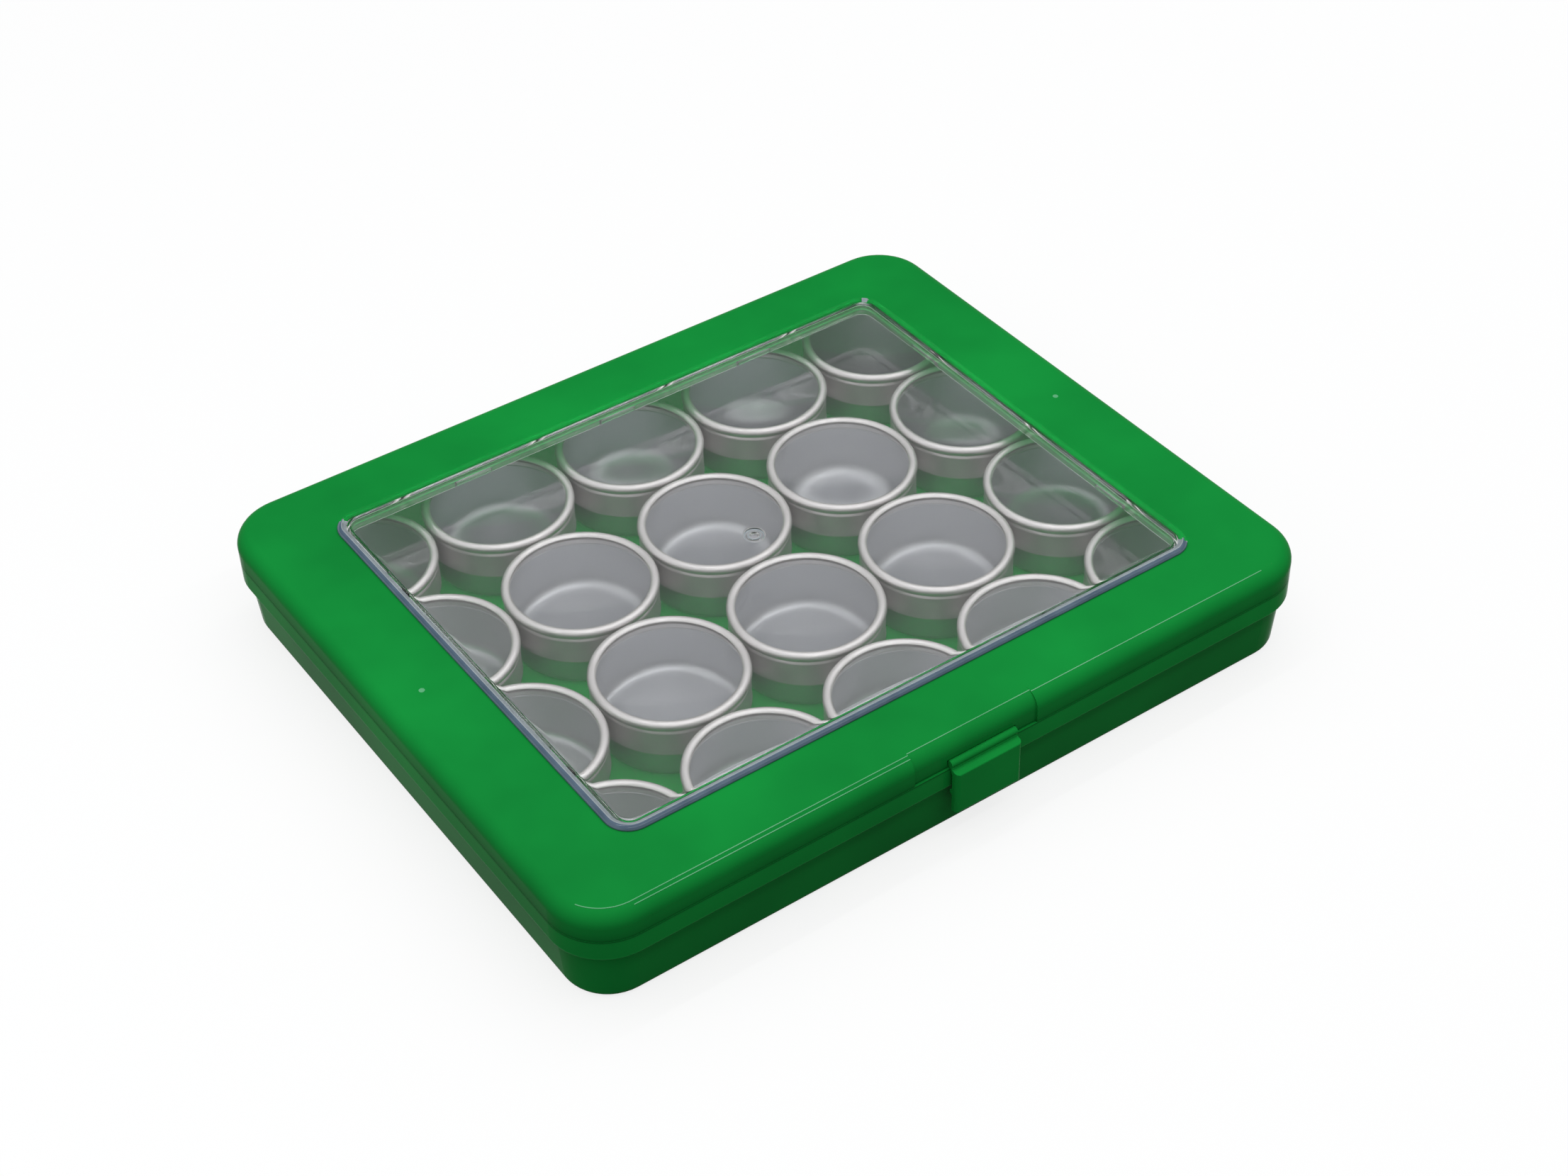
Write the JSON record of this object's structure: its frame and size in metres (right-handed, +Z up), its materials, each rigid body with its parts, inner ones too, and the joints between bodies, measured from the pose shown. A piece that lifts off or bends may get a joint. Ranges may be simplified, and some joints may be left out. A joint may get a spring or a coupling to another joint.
{
  "type": "hinged notions box with window-top tins",
  "caption": "Flat hinged plastic box with a clear window in its lid, a front latch and a grid of round aluminium tins with clear caps for small notions.",
  "frame": {"origin": "middle of the tray's flat underside", "axes": "+X along the latch side, +Y from the latch towards the hinge, +Z up out of the lid"},
  "size_m": [0.1606, 0.1362, 0.0229],
  "materials": {
    "tray_plastic": "moulded green, softly glossy",
    "lid_plastic": "moulded green, softly glossy",
    "latch_plastic": "moulded green, softly glossy",
    "window_clear": "clear moulded plastic",
    "pin_steel": "drawn wire",
    "cup_aluminium": "satin pressed",
    "cap_aluminium": "satin pressed, clear disc in the middle"
  },
  "bodies": {
    "tray": {"base_tray": "tray_plastic", "hinge_pin_left": "pin_steel", "hinge_pin_right": "pin_steel"},
    "lid": {"lid_frame": "lid_plastic", "lid_window": "window_clear"},
    "latch": {"front_latch": "latch_plastic"},
    "tin_01": {"tin_cup_01": "cup_aluminium"},
    "cap_01": {"tin_cap_01": "cap_aluminium"},
    "tin_02": {"tin_cup_02": "cup_aluminium"},
    "cap_02": {"tin_cap_02": "cap_aluminium"},
    "tin_03": {"tin_cup_03": "cup_aluminium"},
    "cap_03": {"tin_cap_03": "cap_aluminium"},
    "tin_04": {"tin_cup_04": "cup_aluminium"},
    "cap_04": {"tin_cap_04": "cap_aluminium"},
    "tin_05": {"tin_cup_05": "cup_aluminium"},
    "cap_05": {"tin_cap_05": "cap_aluminium"},
    "tin_06": {"tin_cup_06": "cup_aluminium"},
    "cap_06": {"tin_cap_06": "cap_aluminium"},
    "tin_07": {"tin_cup_07": "cup_aluminium"},
    "cap_07": {"tin_cap_07": "cap_aluminium"},
    "tin_08": {"tin_cup_08": "cup_aluminium"},
    "cap_08": {"tin_cap_08": "cap_aluminium"},
    "tin_09": {"tin_cup_09": "cup_aluminium"},
    "cap_09": {"tin_cap_09": "cap_aluminium"},
    "tin_10": {"tin_cup_10": "cup_aluminium"},
    "cap_10": {"tin_cap_10": "cap_aluminium"},
    "tin_11": {"tin_cup_11": "cup_aluminium"},
    "cap_11": {"tin_cap_11": "cap_aluminium"},
    "tin_12": {"tin_cup_12": "cup_aluminium"},
    "cap_12": {"tin_cap_12": "cap_aluminium"},
    "tin_13": {"tin_cup_13": "cup_aluminium"},
    "cap_13": {"tin_cap_13": "cap_aluminium"},
    "tin_14": {"tin_cup_14": "cup_aluminium"},
    "cap_14": {"tin_cap_14": "cap_aluminium"},
    "tin_15": {"tin_cup_15": "cup_aluminium"},
    "cap_15": {"tin_cap_15": "cap_aluminium"},
    "tin_16": {"tin_cup_16": "cup_aluminium"},
    "cap_16": {"tin_cap_16": "cap_aluminium"},
    "tin_17": {"tin_cup_17": "cup_aluminium"},
    "cap_17": {"tin_cap_17": "cap_aluminium"},
    "tin_18": {"tin_cup_18": "cup_aluminium"},
    "cap_18": {"tin_cap_18": "cap_aluminium"},
    "tin_19": {"tin_cup_19": "cup_aluminium"},
    "cap_19": {"tin_cap_19": "cap_aluminium"},
    "tin_20": {"tin_cup_20": "cup_aluminium"},
    "cap_20": {"tin_cap_20": "cap_aluminium"}
  },
  "joints": [
    {"name": "lid_hinge", "type": "hinge", "parent": "tray", "child": "lid", "pos_m": [0, 0.0663, 0.016], "axis": [-1, 0, 0], "range_deg": [0, 110]},
    {"name": "latch_flap", "type": "hinge", "parent": "lid", "child": "latch", "pos_m": [0, -0.0659, 0.01705], "axis": [-1, 0, 0], "range_deg": [-5, 70], "stiffness_Nm_per_rad": 0.003},
    {"name": "tin_01_turn", "type": "hinge", "parent": "tray", "child": "tin_01", "pos_m": [-0.061, -0.04575, 0.002], "axis": [0, 0, 1], "continuous": true},
    {"name": "cap_01_turn", "type": "hinge", "parent": "tin_01", "child": "cap_01", "pos_m": [-0.061, -0.04575, 0.012], "axis": [0, 0, 1], "continuous": true},
    {"name": "tin_02_turn", "type": "hinge", "parent": "tray", "child": "tin_02", "pos_m": [-0.0305, -0.04575, 0.002], "axis": [0, 0, 1], "continuous": true},
    {"name": "cap_02_turn", "type": "hinge", "parent": "tin_02", "child": "cap_02", "pos_m": [-0.0305, -0.04575, 0.012], "axis": [0, 0, 1], "continuous": true},
    {"name": "tin_03_turn", "type": "hinge", "parent": "tray", "child": "tin_03", "pos_m": [0, -0.04575, 0.002], "axis": [0, 0, 1], "continuous": true},
    {"name": "cap_03_turn", "type": "hinge", "parent": "tin_03", "child": "cap_03", "pos_m": [0, -0.04575, 0.012], "axis": [0, 0, 1], "continuous": true},
    {"name": "tin_04_turn", "type": "hinge", "parent": "tray", "child": "tin_04", "pos_m": [0.0305, -0.04575, 0.002], "axis": [0, 0, 1], "continuous": true},
    {"name": "cap_04_turn", "type": "hinge", "parent": "tin_04", "child": "cap_04", "pos_m": [0.0305, -0.04575, 0.012], "axis": [0, 0, 1], "continuous": true},
    {"name": "tin_05_turn", "type": "hinge", "parent": "tray", "child": "tin_05", "pos_m": [0.061, -0.04575, 0.002], "axis": [0, 0, 1], "continuous": true},
    {"name": "cap_05_turn", "type": "hinge", "parent": "tin_05", "child": "cap_05", "pos_m": [0.061, -0.04575, 0.012], "axis": [0, 0, 1], "continuous": true},
    {"name": "tin_06_turn", "type": "hinge", "parent": "tray", "child": "tin_06", "pos_m": [-0.061, -0.01525, 0.002], "axis": [0, 0, 1], "continuous": true},
    {"name": "cap_06_turn", "type": "hinge", "parent": "tin_06", "child": "cap_06", "pos_m": [-0.061, -0.01525, 0.012], "axis": [0, 0, 1], "continuous": true},
    {"name": "tin_07_turn", "type": "hinge", "parent": "tray", "child": "tin_07", "pos_m": [-0.0305, -0.01525, 0.002], "axis": [0, 0, 1], "continuous": true},
    {"name": "cap_07_turn", "type": "hinge", "parent": "tin_07", "child": "cap_07", "pos_m": [-0.0305, -0.01525, 0.012], "axis": [0, 0, 1], "continuous": true},
    {"name": "tin_08_turn", "type": "hinge", "parent": "tray", "child": "tin_08", "pos_m": [0, -0.01525, 0.002], "axis": [0, 0, 1], "continuous": true},
    {"name": "cap_08_turn", "type": "hinge", "parent": "tin_08", "child": "cap_08", "pos_m": [0, -0.01525, 0.012], "axis": [0, 0, 1], "continuous": true},
    {"name": "tin_09_turn", "type": "hinge", "parent": "tray", "child": "tin_09", "pos_m": [0.0305, -0.01525, 0.002], "axis": [0, 0, 1], "continuous": true},
    {"name": "cap_09_turn", "type": "hinge", "parent": "tin_09", "child": "cap_09", "pos_m": [0.0305, -0.01525, 0.012], "axis": [0, 0, 1], "continuous": true},
    {"name": "tin_10_turn", "type": "hinge", "parent": "tray", "child": "tin_10", "pos_m": [0.061, -0.01525, 0.002], "axis": [0, 0, 1], "continuous": true},
    {"name": "cap_10_turn", "type": "hinge", "parent": "tin_10", "child": "cap_10", "pos_m": [0.061, -0.01525, 0.012], "axis": [0, 0, 1], "continuous": true},
    {"name": "tin_11_turn", "type": "hinge", "parent": "tray", "child": "tin_11", "pos_m": [-0.061, 0.01525, 0.002], "axis": [0, 0, 1], "continuous": true},
    {"name": "cap_11_turn", "type": "hinge", "parent": "tin_11", "child": "cap_11", "pos_m": [-0.061, 0.01525, 0.012], "axis": [0, 0, 1], "continuous": true},
    {"name": "tin_12_turn", "type": "hinge", "parent": "tray", "child": "tin_12", "pos_m": [-0.0305, 0.01525, 0.002], "axis": [0, 0, 1], "continuous": true},
    {"name": "cap_12_turn", "type": "hinge", "parent": "tin_12", "child": "cap_12", "pos_m": [-0.0305, 0.01525, 0.012], "axis": [0, 0, 1], "continuous": true},
    {"name": "tin_13_turn", "type": "hinge", "parent": "tray", "child": "tin_13", "pos_m": [0, 0.01525, 0.002], "axis": [0, 0, 1], "continuous": true},
    {"name": "cap_13_turn", "type": "hinge", "parent": "tin_13", "child": "cap_13", "pos_m": [0, 0.01525, 0.012], "axis": [0, 0, 1], "continuous": true},
    {"name": "tin_14_turn", "type": "hinge", "parent": "tray", "child": "tin_14", "pos_m": [0.0305, 0.01525, 0.002], "axis": [0, 0, 1], "continuous": true},
    {"name": "cap_14_turn", "type": "hinge", "parent": "tin_14", "child": "cap_14", "pos_m": [0.0305, 0.01525, 0.012], "axis": [0, 0, 1], "continuous": true},
    {"name": "tin_15_turn", "type": "hinge", "parent": "tray", "child": "tin_15", "pos_m": [0.061, 0.01525, 0.002], "axis": [0, 0, 1], "continuous": true},
    {"name": "cap_15_turn", "type": "hinge", "parent": "tin_15", "child": "cap_15", "pos_m": [0.061, 0.01525, 0.012], "axis": [0, 0, 1], "continuous": true},
    {"name": "tin_16_turn", "type": "hinge", "parent": "tray", "child": "tin_16", "pos_m": [-0.061, 0.04575, 0.002], "axis": [0, 0, 1], "continuous": true},
    {"name": "cap_16_turn", "type": "hinge", "parent": "tin_16", "child": "cap_16", "pos_m": [-0.061, 0.04575, 0.012], "axis": [0, 0, 1], "continuous": true},
    {"name": "tin_17_turn", "type": "hinge", "parent": "tray", "child": "tin_17", "pos_m": [-0.0305, 0.04575, 0.002], "axis": [0, 0, 1], "continuous": true},
    {"name": "cap_17_turn", "type": "hinge", "parent": "tin_17", "child": "cap_17", "pos_m": [-0.0305, 0.04575, 0.012], "axis": [0, 0, 1], "continuous": true},
    {"name": "tin_18_turn", "type": "hinge", "parent": "tray", "child": "tin_18", "pos_m": [0, 0.04575, 0.002], "axis": [0, 0, 1], "continuous": true},
    {"name": "cap_18_turn", "type": "hinge", "parent": "tin_18", "child": "cap_18", "pos_m": [0, 0.04575, 0.012], "axis": [0, 0, 1], "continuous": true},
    {"name": "tin_19_turn", "type": "hinge", "parent": "tray", "child": "tin_19", "pos_m": [0.0305, 0.04575, 0.002], "axis": [0, 0, 1], "continuous": true},
    {"name": "cap_19_turn", "type": "hinge", "parent": "tin_19", "child": "cap_19", "pos_m": [0.0305, 0.04575, 0.012], "axis": [0, 0, 1], "continuous": true},
    {"name": "tin_20_turn", "type": "hinge", "parent": "tray", "child": "tin_20", "pos_m": [0.061, 0.04575, 0.002], "axis": [0, 0, 1], "continuous": true},
    {"name": "cap_20_turn", "type": "hinge", "parent": "tin_20", "child": "cap_20", "pos_m": [0.061, 0.04575, 0.012], "axis": [0, 0, 1], "continuous": true}
  ]
}
